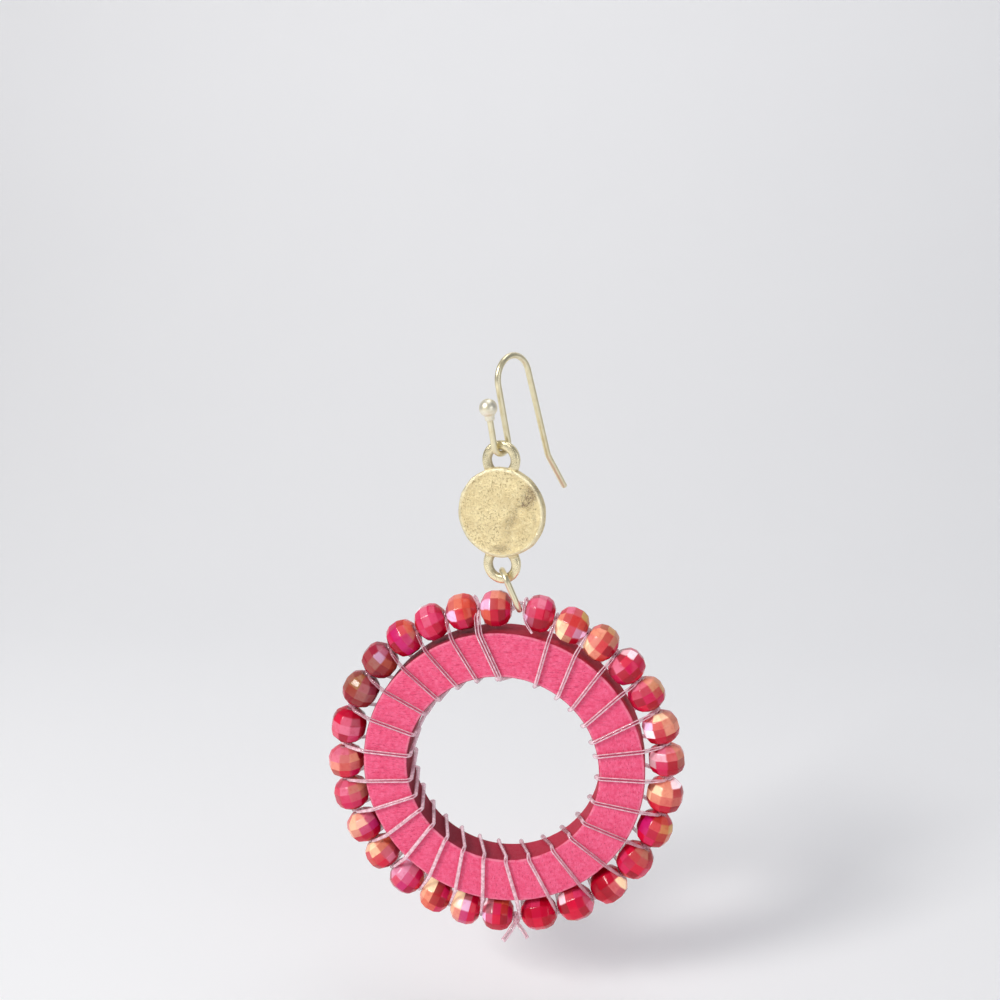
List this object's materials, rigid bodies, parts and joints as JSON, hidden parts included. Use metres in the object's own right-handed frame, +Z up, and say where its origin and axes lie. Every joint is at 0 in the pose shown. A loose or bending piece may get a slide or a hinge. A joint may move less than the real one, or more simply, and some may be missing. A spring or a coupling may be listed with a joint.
{
  "type": "beaded hoop earring",
  "caption": "Drop earring: a pink wooden ring edged with strung faceted glass beads, hung by a jump ring from a hammered gold disc on a bent-wire ear hook.",
  "frame": {"origin": "under the top of the hook's arc, at the wire's underside, where it hangs in the ear", "axes": "+Z up along the drop; the disc and the hoop face -Y, the way the wearer's earring faces the viewer; +X to the viewer's right"},
  "size_m": [0.051, 0.0146, 0.0842],
  "materials": {
    "ear_wire": "pale gold plating, satin",
    "antique_gold": "matte antique gold, hammered, dark patina in the pits",
    "jump_gold": "pale gold plating, satin",
    "dyed_wood": "fuchsia dye over fine grain, matte",
    "bead_glass": "opaque crimson glass, cut facets, rainbow coating on some facets",
    "bead_glass_dark": "opaque maroon glass, cut facets, rainbow coating on some facets",
    "filament": "clear beading filament"
  },
  "bodies": {
    "hook": {"ear_hook": "ear_wire"},
    "disc": {"disc_link": "antique_gold"},
    "jump": {"jump_ring": "jump_gold"},
    "hoop": {"wood_ring": "dyed_wood", "bead_string": "filament", "wrap_thread": "filament", "bead_01": "bead_glass", "bead_02": "bead_glass", "bead_03": "bead_glass", "bead_04": "bead_glass", "bead_05": "bead_glass", "bead_06": "bead_glass", "bead_07": "bead_glass", "bead_08": "bead_glass", "bead_09": "bead_glass", "bead_10": "bead_glass", "bead_11": "bead_glass", "bead_12": "bead_glass", "bead_13": "bead_glass", "bead_14": "bead_glass", "bead_15": "bead_glass", "bead_16": "bead_glass", "bead_17": "bead_glass", "bead_18": "bead_glass", "bead_19": "bead_glass", "bead_20": "bead_glass", "bead_21": "bead_glass", "bead_22": "bead_glass", "bead_23": "bead_glass", "bead_24": "bead_glass_dark", "bead_25": "bead_glass_dark", "bead_26": "bead_glass", "bead_27": "bead_glass", "bead_28": "bead_glass"}
  },
  "joints": [
    {"name": "disc_swing", "type": "hinge", "parent": "hook", "child": "disc", "pos_m": [-0.00149, -0.00213, -0.01165], "axis": [0.9744, -0.225, 0], "range_deg": [-55, 55]},
    {"name": "jump_sway", "type": "hinge", "parent": "disc", "child": "jump", "pos_m": [-0.00149, -0.00213, -0.02886], "axis": [-0.2079, 0.9781, 0], "range_deg": [-25, 25]},
    {"name": "hoop_swing", "type": "hinge", "parent": "jump", "child": "hoop", "pos_m": [0.00088, -0.00213, -0.03414], "axis": [0.9946, 0, -0.1037], "range_deg": [-40, 15]}
  ]
}
